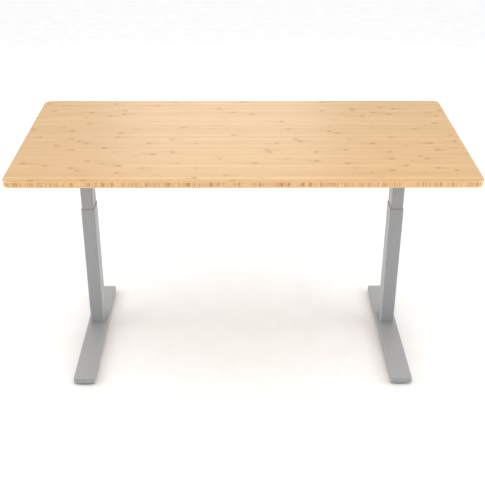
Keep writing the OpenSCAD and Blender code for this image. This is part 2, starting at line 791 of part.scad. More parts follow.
// Mains inlet: an open socket facing the back, with three blade contacts
module mains_inlet() color(black_plastic) {
    wall = 2;
    proud = 1.5;
    blade = [2, 15, 4];
    blade_spots = [[-7, -2], [0, 2], [7, -2]];
    translate([inlet_x, col_y + box_w / 2, inlet_z]) {
        difference() {
            translate([-inlet_w / 2, -inlet_d, -inlet_h / 2]) cube([inlet_w, inlet_d + proud, inlet_h]);
            translate([-inlet_w / 2 + wall, -inlet_d + wall, -inlet_h / 2 + wall])
                cube([inlet_w - 2 * wall, inlet_d + wall, inlet_h - 2 * wall]);
        }
        for (p = blade_spots)
            translate([p[0] - blade.x / 2, -inlet_d + wall / 2, p[1] - blade.z / 2]) cube(blade);
    }
}

// ---------- handset ----------

module handset_housing() color(black_plastic) difference() {
    translate([handset_x - handset_w / 2, handset_y + face_t, handset_z])
        cube([handset_w, handset_d - face_t, handset_h]);
    translate([handset_x - handset_w / 2 + shell_wall, handset_y, handset_z + shell_wall])
        cube([handset_w - 2 * shell_wall, handset_d - shell_wall, handset_h - 2 * shell_wall]);
    translate([handset_x, handset_y + handset_d - 2 * shell_wall, handset_z + handset_h / 2])
        rotate([-90, 0, 0]) cylinder(r = handset_lead_r + 0.5, h = 4 * shell_wall);
}

module handset_face() color(black_plastic) difference() {
    translate([handset_x - handset_w / 2, handset_y, handset_z]) cube([handset_w, face_t, handset_h]);
    for (x = button_spots) translate([handset_x + x, handset_y - 1, handset_z + handset_h / 2])
        rotate([-90, 0, 0]) cylinder(d = button_d + 2 * button_gap, h = face_t + 2);
}

// A round button that slides into the face, with a rim behind the face
module button(x) color("#d8d8d6") translate([handset_x + x, handset_y, handset_z + handset_h / 2])
    rotate([-90, 0, 0]) rotate_extrude() polygon([
        [0, -button_proud], [button_d / 2 - 1, -button_proud], [button_d / 2, 1 - button_proud],
        [button_d / 2, face_t + button_gap], [button_d / 2 + 1, face_t + button_gap],
        [button_d / 2 + 1, button_depth], [0, button_depth]]);
module button_up() button(button_spots[1]);
module button_down() button(button_spots[0]);

// ---------- leads ----------

module motor_leads() color(black_plastic) {
    lead(motor_lead_points, motor_lead_r);
    mirror([1, 0, 0]) lead(motor_lead_points, motor_lead_r);
}

module handset_lead() color(black_plastic) lead(handset_lead_points, handset_lead_r);

desktop();
foot_left();
foot_right();
glide_front_left();
glide_rear_left();
glide_front_right();
glide_rear_right();
glide_nuts();
foot_bolts();
base_plates();
outer_tube_left();
outer_tube_right();
lower_collars();
fixed_screws();
middle_tube_left();
middle_tube_right();
upper_collars();
middle_sliders();
bearing_plates();
screw_bearings();
hollow_screw_left();
hollow_screw_right();
lower_nut_left();
lower_nut_right();
drive_tube_left();
drive_tube_right();
worm_wheel_left();
worm_wheel_right();
worm_left();
worm_right();
inner_tube_left();
inner_tube_right();
inner_sliders();
lift_nuts();
head_brackets();
gearbox_housings();
gearbox_covers();
gear_bearings();
gearbox_screws();
motor_left();
motor_right();
side_bracket_left();
side_bracket_right();
rails_left();
rails_right();
rail_sleeves();
frame_bolts();
bracket_pads();
desktop_screws();
desktop_inserts();
control_box();
control_lid();
control_board();
mains_inlet();
handset_housing();
handset_face();
button_up();
button_down();
motor_leads();
handset_lead();
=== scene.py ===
"""The looks of a height adjustable standing desk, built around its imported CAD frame.

Metres. X runs along the desktop, the user sits at -Y, Z is up from the floor. The camera, the lights and
the floor come first, then the materials, then the pieces that stand for CAD nodes or add to them.
"""

import json
import math

import bmesh
import bpy
from mathutils import Matrix, Vector

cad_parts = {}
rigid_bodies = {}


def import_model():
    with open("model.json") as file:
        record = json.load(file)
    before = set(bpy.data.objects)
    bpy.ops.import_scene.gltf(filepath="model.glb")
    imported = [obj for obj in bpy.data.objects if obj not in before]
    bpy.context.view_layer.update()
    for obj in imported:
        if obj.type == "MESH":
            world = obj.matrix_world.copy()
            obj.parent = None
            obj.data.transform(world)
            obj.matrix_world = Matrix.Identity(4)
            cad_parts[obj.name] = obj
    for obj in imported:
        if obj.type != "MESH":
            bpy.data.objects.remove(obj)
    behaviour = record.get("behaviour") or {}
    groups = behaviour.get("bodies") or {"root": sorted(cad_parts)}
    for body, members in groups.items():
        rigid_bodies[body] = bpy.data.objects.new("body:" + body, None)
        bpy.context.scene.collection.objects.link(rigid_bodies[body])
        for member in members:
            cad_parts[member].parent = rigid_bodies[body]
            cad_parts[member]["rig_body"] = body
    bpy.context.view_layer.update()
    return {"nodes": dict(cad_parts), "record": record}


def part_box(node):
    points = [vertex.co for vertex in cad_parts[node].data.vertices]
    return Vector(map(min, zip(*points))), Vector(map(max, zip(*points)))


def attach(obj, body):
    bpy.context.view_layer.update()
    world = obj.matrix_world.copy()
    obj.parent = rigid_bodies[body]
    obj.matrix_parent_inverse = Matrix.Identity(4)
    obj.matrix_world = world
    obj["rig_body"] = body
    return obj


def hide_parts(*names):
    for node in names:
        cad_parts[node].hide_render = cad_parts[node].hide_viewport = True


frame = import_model()

MM = 0.001


# ---------- camera, light and floor ----------

CAMERA_PLACE = (-0.020, -2.965, 1.993)
CAMERA_HEADING = 0.38       # degrees, clockwise from +Y seen from above
CAMERA_DROP = 28.0          # degrees below the horizon
CAMERA_ROLL = 0.09          # degrees
CAMERA_LENS = 66.78         # mm, on the sensor's width
SENSOR_WIDTH = 36           # mm

FRONT_SKY = 0.20            # strength of the white surround on the viewer's side, at the horizon
BACK_SKY = 0.80             # and on the far side
ZENITH = 0.60               # added overhead


def add_camera():
    heading, drop, roll = (math.radians(a) for a in (CAMERA_HEADING, CAMERA_DROP, CAMERA_ROLL))
    ahead = Vector((math.sin(heading), math.cos(heading), 0))
    forward = ahead * math.cos(drop) - Vector((0, 0, math.sin(drop)))
    level = Vector((math.cos(heading), -math.sin(heading), 0))
    upright = level.cross(forward)
    right = level * math.cos(roll) + upright * math.sin(roll)
    up = upright * math.cos(roll) - level * math.sin(roll)
    data = bpy.data.cameras.new("camera")
    data.lens = CAMERA_LENS
    data.sensor_width = SENSOR_WIDTH
    data.clip_end = 50
    camera = bpy.data.objects.new("camera", data)
    turn = Matrix((right, up, -forward)).transposed().to_4x4()
    camera.matrix_world = Matrix.Translation(CAMERA_PLACE) @ turn
    bpy.context.scene.collection.objects.link(camera)
    bpy.context.scene.camera = camera


def add_area_light(name, place, aim, size, power):
    data = bpy.data.lights.new(name, "AREA")
    data.shape = "RECTANGLE"
    data.size, data.size_y = size
    data.energy = power
    light = bpy.data.objects.new(name, data)
    light.location = place
    light.rotation_euler = (Vector(aim) - Vector(place)).to_track_quat("-Z", "Y").to_euler()
    bpy.context.scene.collection.objects.link(light)


def add_studio():
    """A white surround, dimmer on the viewer's side, with soft panels above, behind and at both sides."""
    scene = bpy.context.scene
    scene.view_settings.view_transform = "Standard"
    world = bpy.data.worlds.new("studio")
    world.use_nodes = True
    tree = world.node_tree
    background = tree.nodes["Background"]
    background.inputs["Color"].default_value = (1, 1, 1, 1)
    direction = tree.nodes.new("ShaderNodeTexCoord")
    parts = tree.nodes.new("ShaderNodeSeparateXYZ")
    both = tree.nodes.new("ShaderNodeMath")
    tree.links.new(direction.outputs["Generated"], parts.inputs[0])
    ramps = (("Y", -0.9, 0.3, FRONT_SKY, BACK_SKY), ("Z", 0.15, 0.9, 0, ZENITH))
    for i, (axis, start, end, low, high) in enumerate(ramps):
        fade = tree.nodes.new("ShaderNodeMapRange")
        tree.links.new(parts.outputs[axis], fade.inputs["Value"])
        for name, value in (("From Min", start), ("From Max", end), ("To Min", low), ("To Max", high)):
            fade.inputs[name].default_value = value
        tree.links.new(fade.outputs[0], both.inputs[i])
    tree.links.new(both.outputs[0], background.inputs["Strength"])
    scene.world = world
    add_area_light("key", (0.0, -0.8, 2.4), (0, -0.3, 0.8), (2.0, 1.0), 10)
    add_area_light("left", (-3.0, -0.7, 1.2), (-0.3, -0.1, 0.2), (2.4, 1.6), 31)
    add_area_light("right", (3.0, -0.7, 1.2), (0.3, -0.1, 0.2), (2.4, 1.6), 31)
    add_area_light("back", (-0.15, 3.6, 2.1), (0, 0, 0.8), (1.6, 1.0), 8)


def add_floor():
    bm = bmesh.new()
    bmesh.ops.create_grid(bm, x_segments=1, y_segments=1, size=20)
    floor = new_piece("floor", bm)
    floor.data.materials.append(plain_material("floor", (0.95, 0.95, 0.95), 0.9, bump=0.02, grain=40))


# ---------- node graphs ----------

class Graph:
    """A short way to write shader nodes. Any input is a number, a tuple or another node's socket."""

    def __init__(self, name):
        self.material = bpy.data.materials.new(name)
        self.material.use_nodes = True
        self.tree = self.material.node_tree
        self.shader = self.tree.nodes["Principled BSDF"]

    def node(self, kind, settings=(), **inputs):
        made = self.tree.nodes.new(kind)
        for key, value in dict(settings).items():
            setattr(made, key, value)
        for key, value in inputs.items():
            self.feed(made.inputs[int(key[1:]) if key[1:].isdigit() else key.replace("_", " ")], value)
        return made

    def feed(self, socket, value):
        if isinstance(value, bpy.types.NodeSocket):
            self.tree.links.new(value, socket)
        else:
            socket.default_value = value

    def math(self, operation, a, b=0.0, c=0.0):
        return self.node("ShaderNodeMath", {"operation": operation}, _0=a, _1=b, _2=c).outputs[0]

    def ramp(self, value, low, high):
        """0 below low, 1 above high, and smooth between. Low may be above high, which turns it round."""
        made = self.node("ShaderNodeMapRange", {"interpolation_type": "SMOOTHSTEP"}, Value=value)
        turned = low > high
        made.inputs["From Min"].default_value = min(low, high)
        made.inputs["From Max"].default_value = max(low, high)
        made.inputs["To Min"].default_value = 1.0 if turned else 0.0
        made.inputs["To Max"].default_value = 0.0 if turned else 1.0
        return made.outputs[0]

    def blend(self, share, a, b):
        """Colour a, going over to b as share goes from 0 to 1."""
        made = self.node("ShaderNodeMix", {"data_type": "RGBA"})
        self.feed(made.inputs[0], share)
        self.feed(made.inputs[6], a)
        self.feed(made.inputs[7], b)
        return made.outputs[2]

    def place(self, x=0.0, y=0.0, z=0.0):
        return self.node("ShaderNodeCombineXYZ", _0=x, _1=y, _2=z).outputs[0]

    def coordinates(self):
        """The point's own place on the object, and its own normal, each split in x, y and z."""
        own = self.node("ShaderNodeTexCoord")
        split = self.node("ShaderNodeSeparateXYZ", _0=own.outputs["Object"])
        facing = self.node("ShaderNodeSeparateXYZ", _0=own.outputs["Normal"])
        return own.outputs["Object"], split.outputs, facing.outputs

    def noise(self, vector, scale, detail=2.0, roughness=0.5):
        return self.node("ShaderNodeTexNoise", Vector=vector, Scale=scale, Detail=detail,
                         Roughness=roughness).outputs["Fac"]

    def stretched(self, vector, x, y, z):
        return self.node("ShaderNodeMapping", Vector=vector, Scale=(x, y, z)).outputs[0]

    def chance(self, vector):
        """Three random values that stay the same for the same vector."""
        made = self.node("ShaderNodeTexWhiteNoise", {"noise_dimensions": "3D"}, Vector=vector)
        return self.node("ShaderNodeSeparateColor", _0=made.outputs["Color"]).outputs

    def bump(self, height, strength, distance):
        made = self.node("ShaderNodeBump", Height=height, Strength=strength, Distance=distance)
        self.feed(self.shader.inputs["Normal"], made.outputs[0])

    def set(self, **inputs):
        for key, value in inputs.items():
            self.feed(self.shader.inputs[key.replace("_", " ")], value)


def colour(r, g, b):
    return (r, g, b, 1.0)


def plain_material(name, tone, roughness, metallic=0.0, bump=0.1, grain=900, spread=0.06, coat=0.0):
    """Paint, plastic, rubber or bare metal: a tone with slight clouds, an uneven gloss and a fine grain."""
    g = Graph(name)
    own, _, _ = g.coordinates()
    clouds = g.noise(own, 9, 3)
    fine = g.noise(own, grain, 2)
    darker = colour(*(c * (1 - spread) for c in tone))
    lighter = colour(*(min(1, c * (1 + spread)) for c in tone))
    tinted = g.blend(clouds, darker, lighter)
    speckled = g.blend(g.ramp(fine, 0.62, 0.8), tinted, darker)
    g.set(Base_Color=speckled, Metallic=metallic, Coat_Weight=coat,
          Roughness=g.math("MULTIPLY_ADD", clouds, 0.12, roughness - 0.06))
    g.bump(fine, bump, 0.2 * MM)
    return g.material


def brushed_material(name, tone, roughness, direction):
    """Turned or drawn metal, with fine lines along direction, which is a stretch along x, y and z."""
    g = Graph(name)
    own, _, _ = g.coordinates()
    lines = g.noise(g.stretched(own, *direction), 60, 3)
    tinted = g.blend(lines, colour(*(c * 0.82 for c in tone)), colour(*tone))
    g.set(Base_Color=tinted, Metallic=1.0, Roughness=g.math("MULTIPLY_ADD", lines, 0.2, roughness - 0.1))
    g.bump(lines, 0.12, 0.1 * MM)
    return g.material


# ---------- bamboo ----------

STRIP = 19.5 * MM           # width of a bamboo strip in the face plies
CELL = 240 * MM             # a strip has at most one node mark in each such length
BLOCK = 7.5 * MM            # width of a strip's end in the core ply
FACE_PLY = 6.3 * MM         # thickness of the top and bottom plies

PALE = colour(0.625, 0.398, 0.174)
HONEY = colour(0.544, 0.324, 0.126)
PINKISH = colour(0.586, 0.357, 0.178)
MARK = colour(0.330, 0.120, 0.018)
JOINT = colour(0.365, 0.203, 0.078)
# Painted highlight: a near-white honey tone laid on the face plies along the front and back edges, standing in
# for light caught by the eased edges
PAINTED_EDGE_HIGHLIGHT = colour(1.000, 0.640, 0.310)
END_PALE = colour(0.900, 0.560, 0.270)
END_DARK = colour(0.400, 0.145, 0.030)


def face_grain(g, own, along, across, seed):
    """Long strips with thin joints, fibres and scattered node marks. Returns colour and height."""
    position = g.math("DIVIDE", g.math("ADD", across, 10.0), STRIP)
    strip = g.math("FLOOR", position)
    edge = g.math("ABSOLUTE", g.math("SUBTRACT", g.math("FRACT", position), 0.5))
    tone = g.chance(g.place(strip, seed, 0.0))
    shifted = g.math("ADD", g.math("DIVIDE", along, CELL), g.math("MULTIPLY", tone[0], 7.0))
    cell = g.math("FLOOR", shifted)
    luck = g.chance(g.place(strip, cell, seed + 3.0))
    wander = g.noise(own, 55, 2)
    fibre_lines = g.noise(g.stretched(own, 2.5, 150.0, 150.0), 1.0, 2)
    centre = g.math("MULTIPLY_ADD", luck[0], 0.6, 0.2)
    offset = g.math("MULTIPLY", g.math("SUBTRACT", g.math("FRACT", shifted), centre), CELL)
    signed = g.math("ADD", offset, g.math("MULTIPLY_ADD", wander, 16 * MM, -8 * MM))
    way = g.math("MULTIPLY_ADD", g.math("GREATER_THAN", luck[2], 0.5), 2.0, -1.0)
    tailward = g.math("MULTIPLY", signed, way)
    there = g.math("MULTIPLY", g.ramp(luck[1], 0.30, 0.90), g.ramp(edge, 0.5, 0.3))
    core = g.math("MULTIPLY", g.ramp(g.math("ABSOLUTE", signed), 13 * MM, 2 * MM), there)
    tail = g.math("MULTIPLY", g.ramp(tailward, 75 * MM, 4 * MM), g.ramp(tailward, -20 * MM, -3 * MM))
    wings = g.math("MULTIPLY", tail, g.math("MULTIPLY", there, g.ramp(fibre_lines, 0.3, 0.62)))

    fibres = g.noise(g.stretched(own, 7.0, 420.0, 420.0), 1.0, 4, 0.6)
    streaks = g.noise(g.stretched(own, 1.6, 60.0, 60.0), 1.0, 3, 0.55)
    clouds = g.noise(own, 1.7, 2)
    darker = g.math("MULTIPLY_ADD", tone[1], 0.75, g.math("MULTIPLY_ADD", streaks, 0.7, -0.35))
    body = g.blend(darker, PALE, HONEY)
    body = g.blend(g.math("MULTIPLY", g.ramp(clouds, 0.42, 0.62), 0.5), body, PINKISH)
    body = g.blend(g.math("MULTIPLY", g.ramp(fibres, 0.5, 0.78), 0.28), body, JOINT)
    seam = g.ramp(edge, 0.45, 0.495)
    shade = g.noise(g.stretched(own, 3.0, 25.0, 25.0), 1.0, 2)
    seam_shown = g.math("MULTIPLY", seam, g.math("MULTIPLY", g.ramp(shade, 0.40, 0.62), 0.9))
    body = g.blend(seam_shown, body, JOINT)
    body = g.blend(g.math("MULTIPLY", wings, 0.30), body, MARK)
    body = g.blend(g.math("MULTIPLY", core, 0.42), body, MARK)
    sunk = g.math("MULTIPLY_ADD", seam, 0.5, g.math("MULTIPLY", core, 0.3))
    return body, g.math("SUBTRACT", g.math("MULTIPLY", fibres, 0.5), sunk)


def end_grain(g, own, along, width, seed):
    """The cut ends of strips side by side, each with its own tone and a dotted grain."""
    position = g.math("DIVIDE", g.math("ADD", along, 10.0), width)
    tone = g.chance(g.place(g.math("FLOOR", position), seed, 1.0))
    across = g.math("FRACT", position)
    gap = g.ramp(g.math("ABSOLUTE", g.math("SUBTRACT", across, 0.5)), 0.42, 0.5)
    dots = g.noise(own, 900, 2)
    patches = g.noise(own, 30, 2)
    skin = g.math("MULTIPLY", g.ramp(across, 0.35, 0.9), g.math("MULTIPLY_ADD", tone[1], 0.75, 0.1))
    dark = g.math("MAXIMUM", skin, g.math("MULTIPLY", g.math("POWER", tone[0], 3.0), 0.7))
    dark = g.math("MULTIPLY", dark, g.ramp(patches, 0.28, 0.5))
    body = g.blend(dark, END_PALE, END_DARK)
    body = g.blend(g.math("MULTIPLY", g.ramp(dots, 0.55, 0.75), 0.35), body, END_DARK)
    body = g.blend(g.math("MULTIPLY", gap, 0.5), body, END_DARK)
    return body, g.math("MULTIPLY", dots, 0.6)


def bamboo_material(low, high):
    """Three plies: strips along the faces, and a core of strips that run across and end at front and back. The
    face plies carry a painted highlight along the front and back edges.
    """
    g = Graph("bamboo")
    own, (x, y, z), (_, facing_y, facing_z) = g.coordinates()
    face, face_height = face_grain(g, own, x, y, 0.0)
    ply_side, _ = face_grain(g, own, x, z, 20.0)
    core_side, core_height = face_grain(g, own, y, z, 40.0)
    core_ends, ends_height = end_grain(g, own, x, BLOCK, 5.0)
    ply_ends, _ = end_grain(g, own, y, STRIP, 9.0)

    depth = g.math("MINIMUM", g.math("SUBTRACT", z, low), g.math("SUBTRACT", high, z))
    in_core = g.ramp(depth, FACE_PLY - 0.2 * MM, FACE_PLY + 0.2 * MM)
    faces_long = g.ramp(g.math("ABSOLUTE", facing_y), 0.5, 0.75)
    # Front and back edges: the face plies show their side grain mixed 70 % with the painted highlight tone,
    # and the core shows its strip ends
    long_edge = g.blend(in_core, g.blend(0.7, ply_side, PAINTED_EDGE_HIGHLIGHT), core_ends)
    short_edge = g.blend(in_core, ply_ends, core_side)
    edge = g.blend(faces_long, short_edge, long_edge)
    on_face = g.ramp(g.math("ABSOLUTE", facing_z), 0.35, 0.6)
    from_glue = g.math("ABSOLUTE", g.math("SUBTRACT", depth, FACE_PLY))
    edge = g.blend(g.math("MULTIPLY", g.ramp(from_glue, 0.5 * MM, 0.1 * MM), 0.5), edge, JOINT)
    base = g.blend(on_face, edge, face)
    rub = g.noise(own, 24, 3)
    g.set(Base_Color=base, Roughness=g.math("MULTIPLY_ADD", rub, 0.14, 0.33), Coat_Weight=0.12,
          Coat_Roughness=0.25)
    height = g.math("ADD", face_height, g.math("MULTIPLY", g.math("MAXIMUM", ends_height, core_height), 0.3))
    g.bump(height, 0.12, 0.3 * MM)
    return g.material


# ---------- mesh tools ----------

def new_piece(name, bm, smooth_below=40):
    """An object from a bmesh, shaded smooth except where faces meet at more than smooth_below degrees."""
    bmesh.ops.recalc_face_normals(bm, faces=bm.faces)
    mesh = bpy.data.meshes.new(name)
    bm.to_mesh(mesh)
    bm.free()
    mesh.shade_smooth()
    mesh.set_sharp_from_angle(angle=math.radians(smooth_below))
    made = bpy.data.objects.new(name, mesh)
    bpy.context.scene.collection.objects.link(made)
    return made


def finish_piece(piece, body, slot, material, *nodes):
    piece.data.materials.clear()
    piece.data.materials.append(material)
    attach(piece, body)
    if nodes:
        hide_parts(*nodes)


def round_outline(half_x, half_y, radius, steps=8):
    """Points of a rectangle with round corners, about the origin."""
    points = []
    for corner, (sx, sy) in enumerate(((1, 1), (-1, 1), (-1, -1), (1, -1))):
        for i in range(steps + 1):
            angle = math.radians(90 * (corner + i / steps))
            points.append((sx * (half_x - radius) + radius * math.cos(angle),
                           sy * (half_y - radius) + radius * math.sin(angle)))
    return points


def add_block(bm, low, high, radius, soft=0.4 * MM):
    """A block from low to high with upright edges rounded by radius and a small soft edge above and below."""
    low, high = Vector(low), Vector(high)
    middle, half = (low + high) / 2, (high - low) / 2
    made = []
    for z, inset in ((low.z, soft), (low.z + soft, 0), (high.z - soft, 0), (high.z, soft)):
        outline = round_outline(half.x - inset, half.y - inset, max(radius - inset, 0.05 * MM), 4)
        made.append([(middle.x + x, middle.y + y, z) for x, y in outline])
    add_loft(bm, made)


def add_loft(bm, rings, closed=False):
    """Skins rings of equally many points, and caps both ends unless the last ring joins the first."""
    made = [[bm.verts.new(p) for p in ring] for ring in rings]
    pairs = list(zip(made, made[1:] + made[:1])) if closed else list(zip(made, made[1:]))
    for a, b in pairs:
        for i in range(len(a)):
            j = (i + 1) % len(a)
            bm.faces.new((a[i], a[j], b[j], b[i]))
    if not closed:
        bm.faces.new(made[0][::-1])
        bm.faces.new(made[-1])


def quarter(radius, steps, start):
    """(inset, rise) along a quarter circle, from start degrees."""
    turns = [math.radians(start + 90 * i / steps) for i in range(steps + 1)]
    return [(radius * (1 - math.cos(t)), radius * math.sin(t)) for t in turns]


def islands(node):
    """The box of each separate solid in a CAD node, as (low, high) corners."""
    bm = bmesh.new()
    bm.from_mesh(frame["nodes"][node].data)
    bmesh.ops.remove_doubles(bm, verts=bm.verts, dist=1e-6)
    left = set(bm.verts)
    found = []
    while left:
        front = [left.pop()]
        group = list(front)
        while front:
            near = {e.other_vert(v) for v in front for e in v.link_edges} & left
            left -= near
            front = list(near)
            group += front
        found.append((Vector(min(v.co[k] for v in group) for k in range(3)),
                      Vector(max(v.co[k] for v in group) for k in range(3))))
    bm.free()
    return sorted(found, key=lambda b: tuple(b[0]))


def body_of(node):
    return frame["nodes"][node]["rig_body"]


def slot_of(node):
    return next(e["material_slot"] for e in frame["record"]["subparts"] if e["node"] == node)


def turned(bm, frame_of_axis, rings, sides=48):
    """Skins rings about an axis. A ring is (along, radius), where radius may be a function of the angle."""
    made = []
    for along, radius in rings:
        ring = []
        for i in range(sides):
            angle = 2 * math.pi * i / sides
            r = radius(angle) if callable(radius) else radius
            ring.append(frame_of_axis @ Vector((r * math.cos(angle), r * math.sin(angle), along)))
        made.append(ring)
    add_loft(bm, made)


def axis_at(point, direction):
    """Places +Z of a shape along direction, with its origin at point."""
    return Matrix.Translation(point) @ Vector(direction).to_track_quat("Z", "Y").to_matrix().to_4x4()


def hexagon(across, turn=0.0):
    """Radius of a hexagon of this size across its flats, as a function of the angle."""
    return lambda a: across / 2 / math.cos((a + turn) % (math.pi / 3) - math.pi / 6)


def screw_head(bm, point, direction, radius, height):
    """A domed head with a hexagonal recess, standing on point and facing direction."""
    turned(bm, axis_at(point, direction), [
        (0, radius), (0.45 * height, radius), (0.8 * height, 0.86 * radius), (height, 0.62 * radius),
        (0.98 * height, hexagon(0.9 * radius)), (0.35 * height, hexagon(0.86 * radius))], sides=24)


def even_shading(piece):
    """Keeps wide flat faces flat beside their rounded edges."""
    weighted = piece.modifiers.new("even_shading", "WEIGHTED_NORMAL")
    weighted.keep_sharp = True


def softened(node, width, segments=2):
    """A copy of a CAD node that stands for it, its sharp edges rounded by width, or only smoothed at 0."""
    bm = bmesh.new()
    bm.from_mesh(frame["nodes"][node].data)
    bmesh.ops.remove_doubles(bm, verts=bm.verts, dist=1e-6)
    bmesh.ops.dissolve_limit(bm, angle_limit=math.radians(0.5), verts=bm.verts, edges=bm.edges)
    if width:
        sharp = [e for e in bm.edges if e.is_manifold and e.calc_face_angle() > math.radians(40)]
        bmesh.ops.bevel(bm, geom=sharp, offset=width, segments=segments, profile=0.5, affect="EDGES",
                        clamp_overlap=True)
    piece = new_piece(node + "_shown", bm)
    even_shading(piece)
    finish_piece(piece, body_of(node), slot_of(node), materials[slot_of(node)], node)
    return piece


# ---------- pieces ----------

def make_desktop():
    """The board, with eased edges, and blind holes for its threaded inserts."""
    low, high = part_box("desktop")
    half = (high - low) / 2
    corner, ease, steps = 25 * MM, 3 * MM, 6
    profile = [(inset, low.z + ease - rise) for inset, rise in quarter(ease, steps, 0)][::-1]
    profile += [(inset, high.z - ease + rise) for inset, rise in quarter(ease, steps, 0)]
    bm = bmesh.new()
    add_loft(bm, [[(x, y, z) for x, y in round_outline(half.x - inset, half.y - inset, corner - inset, 12)]
                  for inset, z in profile])
    board = new_piece("bamboo_board", bm, 50)
    drills = bmesh.new()
    for start, end in islands("desktop_inserts"):
        middle = (start + end) / 2
        turned(drills, axis_at((middle.x, middle.y, start.z - 2 * MM), (0, 0, 1)),
               [(0, 5.05 * MM), (end.z - start.z + 2.1 * MM, 5.05 * MM)])
    tool = new_piece("drills", drills)
    cut = board.modifiers.new("inserts", "BOOLEAN")
    cut.object, cut.operation, cut.solver = tool, "DIFFERENCE", "EXACT"
    bpy.context.view_layer.update()
    drilled = bpy.data.meshes.new_from_object(board.evaluated_get(bpy.context.evaluated_depsgraph_get()))
    board.modifiers.clear()
    board.data = drilled
    bpy.data.objects.remove(tool)
    even_shading(board)
    finish_piece(board, "top", "bamboo", materials["bamboo"], "desktop")


def make_foot(side):
    """A folded steel foot: an upside-down tray with soft edges."""
    node = "foot_" + side
    low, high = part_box(node)
    middle, half = (low + high) / 2, (high - low) / 2
    corner, fold, wall = 6 * MM, 3.5 * MM, 2.5 * MM
    rings = [(wall, high.z - wall), (wall, low.z + 0.4 * MM), (wall - 0.4 * MM, low.z), (0.4 * MM, low.z),
             (0, low.z + 0.4 * MM)]
    rings += [(inset, high.z - fold + rise) for inset, rise in quarter(fold, 6, 0)]
    made = []
    for inset, z in rings:
        outline = round_outline(half.x - inset, half.y - inset, corner - min(inset, corner - MM), 8)
        made.append([(middle.x + x, middle.y + y, z) for x, y in outline])
    bm = bmesh.new()
    add_loft(bm, made)
    foot = new_piece(node + "_shown", bm)
    even_shading(foot)
    finish_piece(foot, "base", "frame_steel", materials["frame_steel"], node)


def make_collars(node):
    """Guide collars with a soft rim."""
    bm = bmesh.new()
    for low, high in islands(node):
        middle, half = (low + high) / 2, (high - low) / 2
        corner, soft, flange, wall, lining = 4 * MM, 0.8 * MM, 4 * MM, 1.5 * MM, 0.7 * MM
        inner = wall + lining
        rings = [(wall, low.z), (wall, high.z - flange), (0, high.z - flange), (0, high.z - soft),
                 (0.3 * soft, high.z - 0.3 * soft), (soft, high.z), (inner - soft, high.z),
                 (inner, high.z - soft), (inner, low.z)]
        add_loft(bm, [[(middle.x + x, middle.y + y, z)
                       for x, y in round_outline(half.x - inset, half.y - inset, corner - 0.3 * inset)]
                      for inset, z in rings], closed=True)
    collars = new_piece(node + "_shown", bm)
    even_shading(collars)
    finish_piece(collars, body_of(node), slot_of(node), materials[slot_of(node)], node)


def make_welds():
    """A bead around the bottom of each outer tube, where it is welded to its foot plate."""
    for side in ("left", "right"):
        low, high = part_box("outer_tube_" + side)
        middle, half = (low + high) / 2, (high - low) / 2
        bm = bmesh.new()
        rings = [(-0.8, 0), (2.6, 0), (2.2, 1.2), (1.2, 2.2), (0, 2.8), (-0.8, 2.8)]
        add_loft(bm, [[(middle.x + x, middle.y + y, low.z + rise * MM)
                       for x, y in round_outline(half.x + out * MM, half.y + out * MM, (4 + out) * MM, 10)]
                      for out, rise in rings], closed=True)
        bead = new_piece("weld_" + side, bm, 60)
        finish_piece(bead, "base", "frame_steel", materials["frame_steel"])


def make_glide(node):
    """A moulded disc with a fluted rim and a hexagonal hub, on a threaded stud."""
    low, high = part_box(node)
    middle, rim = (low + high) / 2, (high.x - low.x) / 2
    stud, pitch, thread = 4 * MM, 1.25 * MM, 0.55 * MM
    flutes = lambda a: rim - 0.45 * MM * (1 + math.cos(24 * a))
    profile = [(0, rim - 4 * MM), (0.1 * MM, rim - 1.6 * MM), (0.9 * MM, rim - 0.2 * MM), (1.6 * MM, flutes),
               (5.0 * MM, flutes)]
    profile += [((6 + 2 * math.sin(t)) * MM, rim - 2 * MM * (1 - math.cos(t)))
                for t in (math.radians(15 * i) for i in range(7))]
    profile += [(8 * MM, rim - 4 * MM), (7.2 * MM, rim - 5 * MM), (7 * MM, 10 * MM),
                (7.3 * MM, hexagon(14 * MM)), (8 * MM, hexagon(13.4 * MM)), (8 * MM, stud)]
    height = high.z - low.z
    for i in range(int((height - 9.2 * MM) / (0.3 * MM))):
        z = 8.2 * MM + 0.3 * MM * i
        profile.append((z, lambda a, z=z: stud - thread * abs(2 * ((z / pitch - a / (2 * math.pi)) % 1) - 1)))
    profile += [(height - 0.6 * MM, stud - 0.6 * MM), (height, stud - 1.2 * MM)]
    bm = bmesh.new()
    turned(bm, Matrix.Translation((middle.x, middle.y, low.z)), profile, sides=96)
    glide = new_piece(node + "_shown", bm)
    finish_piece(glide, body_of(node), slot_of(node), materials[slot_of(node)], node)


